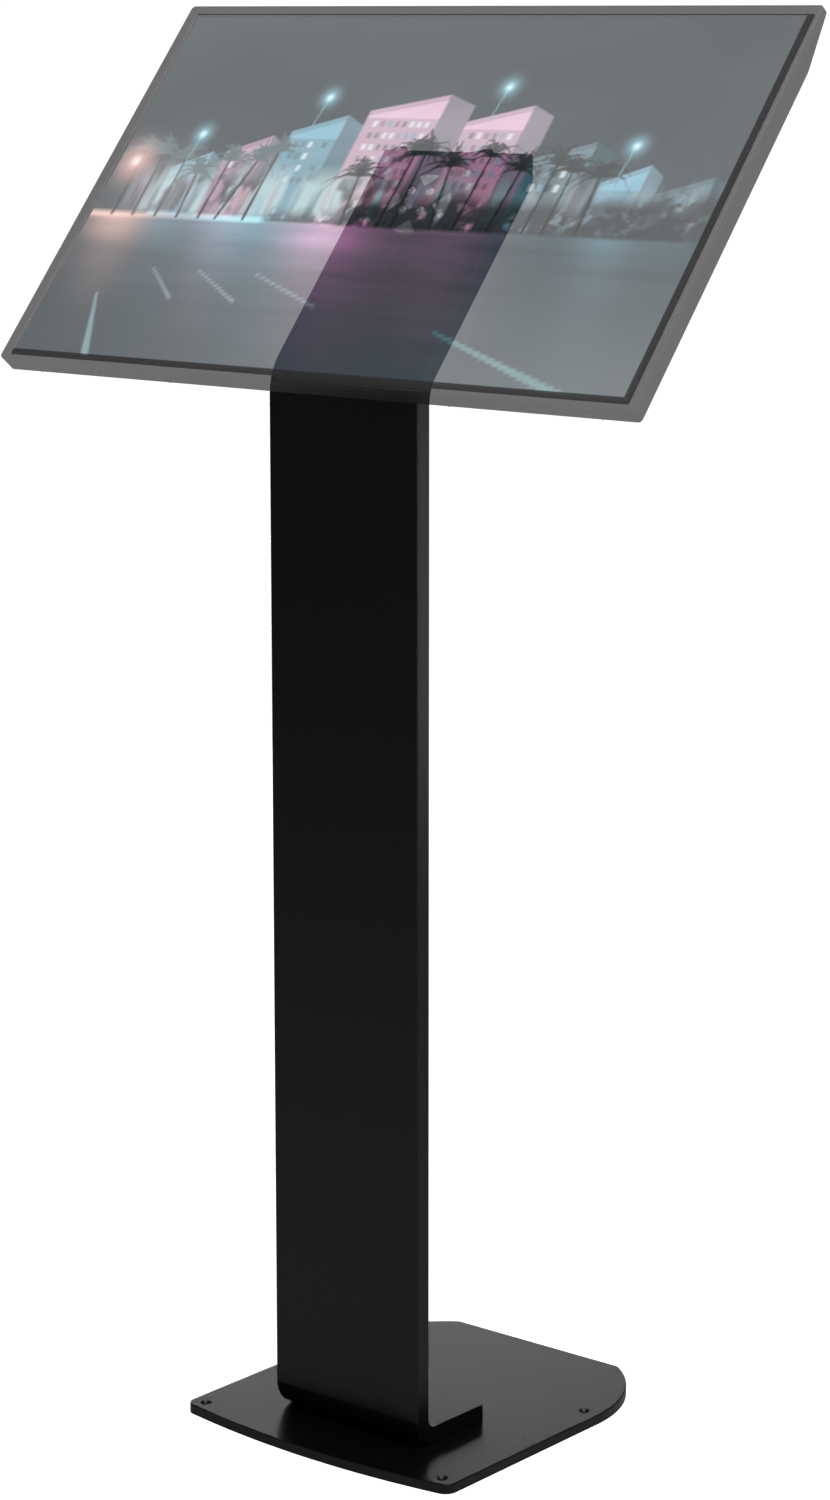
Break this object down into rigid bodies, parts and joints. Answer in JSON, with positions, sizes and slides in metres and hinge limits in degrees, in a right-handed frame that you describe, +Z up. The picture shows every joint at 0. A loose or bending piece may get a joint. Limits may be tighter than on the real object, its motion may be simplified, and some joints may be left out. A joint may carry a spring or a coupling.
{
  "type": "touchscreen kiosk",
  "caption": "Free-standing touchscreen kiosk: floor plate, thin bent column with a cable duct, and a tilted display that turns on its head between landscape and portrait.",
  "frame": {"origin": "middle of the underside of the floor plate's rubber mat", "axes": "+Z up, +X to the user's right, +Y away from the user"},
  "size_m": [0.733, 0.3589, 1.3198],
  "materials": {
    "mat_rubber": "matt",
    "black_paint": "satin black powder coat",
    "zinc_steel": "zinc plated",
    "raw_steel": "plain",
    "black_steel": "black oxide",
    "edge_rubber": "matt",
    "nylon": "natural nylon",
    "case_plastic": "fine textured",
    "frame_plastic": "satin",
    "key_plastic": "satin",
    "cover_glass": "clear with a dark printed rim",
    "sensor_film": "clear film",
    "lcd": "lit picture",
    "light_plastic": "clear acrylic",
    "board_green": "solder mask",
    "socket_metal": "plated",
    "brass": "turned",
    "foam": "closed-cell foam",
    "lens_plastic": "dark lens"
  },
  "bodies": {
    "stand": {"base_mat": "mat_rubber", "base_plate": "black_paint", "foot_bolts": "black_steel", "foot_clamp_plates": "raw_steel", "column_face_sheet": "black_paint", "column_cheek_left": "black_paint", "column_cheek_right": "black_paint", "column_rear_cover": "black_paint", "head_rear_cover": "black_paint", "foot_end_plate": "black_paint", "head_end_plate": "black_paint", "cover_tabs": "black_paint", "cover_screws": "black_steel", "head_cover_screws": "black_steel", "cable_exit_grommet": "edge_rubber", "cable_slot_grommet": "edge_rubber", "access_plug": "case_plastic", "cable_clips": "nylon", "head_backing_plate": "raw_steel", "turntable_base": "black_steel", "turntable_screws": "black_steel", "stop_pin": "raw_steel", "friction_washer": "nylon", "pivot_bolt": "zinc_steel", "spring_washer": "zinc_steel", "pivot_nut": "zinc_steel"},
    "display": {"turntable_disc": "zinc_steel", "spider_plate": "black_paint", "spider_screws": "zinc_steel", "vesa_screws": "zinc_steel", "vesa_inserts": "brass", "rear_housing": "case_plastic", "housing_screws": "black_steel", "main_board": "board_green", "power_board": "board_green", "board_standoffs": "brass", "port_block": "socket_metal", "dc_power_jack": "case_plastic", "display_back_cover": "case_plastic", "back_cover_screws": "black_steel", "front_frame": "frame_plastic", "glass_gasket": "foam", "touch_glass": "cover_glass", "touch_sensor": "sensor_film", "lcd_panel": "lcd", "light_guide": "light_plastic", "led_strip": "light_plastic", "panel_chassis": "raw_steel", "timing_board": "board_green", "speakers": "case_plastic", "status_lens": "lens_plastic", "key_board": "board_green"},
    "power_key": {"power_key": "key_plastic"},
    "source_key": {"source_key": "key_plastic"},
    "menu_key": {"menu_key": "key_plastic"},
    "minus_key": {"minus_key": "key_plastic"},
    "plus_key": {"plus_key": "key_plastic"}
  },
  "joints": [
    {"name": "display_rotation", "type": "hinge", "parent": "stand", "child": "display", "pos_m": [0, 0.00049, 1.13542], "axis": [0, -0.766, 0.6428], "range_deg": [0, 90]},
    {"name": "power_key_press", "type": "slide", "parent": "display", "child": "power_key", "axis": [0, -0.766, 0.6428], "range_m": [0, 0.0008], "stiffness_N_per_m": 500, "springref_m": -0.0004},
    {"name": "source_key_press", "type": "slide", "parent": "display", "child": "source_key", "axis": [0, -0.766, 0.6428], "range_m": [0, 0.0008], "stiffness_N_per_m": 500, "springref_m": -0.0004},
    {"name": "menu_key_press", "type": "slide", "parent": "display", "child": "menu_key", "axis": [0, -0.766, 0.6428], "range_m": [0, 0.0008], "stiffness_N_per_m": 500, "springref_m": -0.0004},
    {"name": "minus_key_press", "type": "slide", "parent": "display", "child": "minus_key", "axis": [0, -0.766, 0.6428], "range_m": [0, 0.0008], "stiffness_N_per_m": 500, "springref_m": -0.0004},
    {"name": "plus_key_press", "type": "slide", "parent": "display", "child": "plus_key", "axis": [0, -0.766, 0.6428], "range_m": [0, 0.0008], "stiffness_N_per_m": 500, "springref_m": -0.0004}
  ]
}
